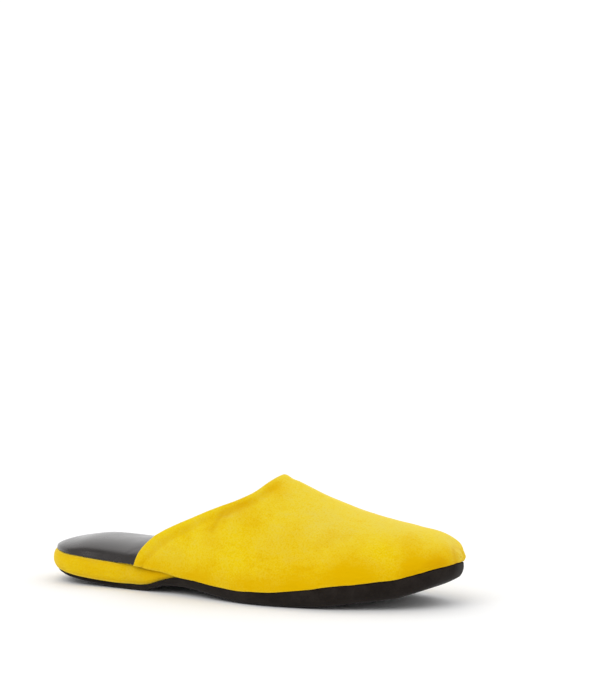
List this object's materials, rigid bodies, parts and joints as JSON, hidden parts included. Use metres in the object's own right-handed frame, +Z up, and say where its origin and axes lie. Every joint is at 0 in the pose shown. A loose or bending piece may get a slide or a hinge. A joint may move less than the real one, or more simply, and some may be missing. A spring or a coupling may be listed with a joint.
{
  "type": "babouche slipper",
  "caption": "Right backless slipper in yellow suede with a peaked open collar, padded black leather insole, suede-covered heel wedge and soft sprung sole.",
  "frame": {"origin": "on the floor, under the middle of the slipper's length and width", "axes": "+X from heel to toe, +Y towards the inner (medial) side, +Z up"},
  "size_m": [0.29, 0.1028, 0.0781],
  "materials": {
    "suede": "yellow suede, matt, short nap",
    "leather": "black smooth leather, soft satin",
    "sole_suede": "black suede sole, matt"
  },
  "bodies": {
    "root": {"outsole": "sole_suede", "heel_wedge": "suede", "insole": "leather", "vamp": "suede"}
  },
  "joints": []
}
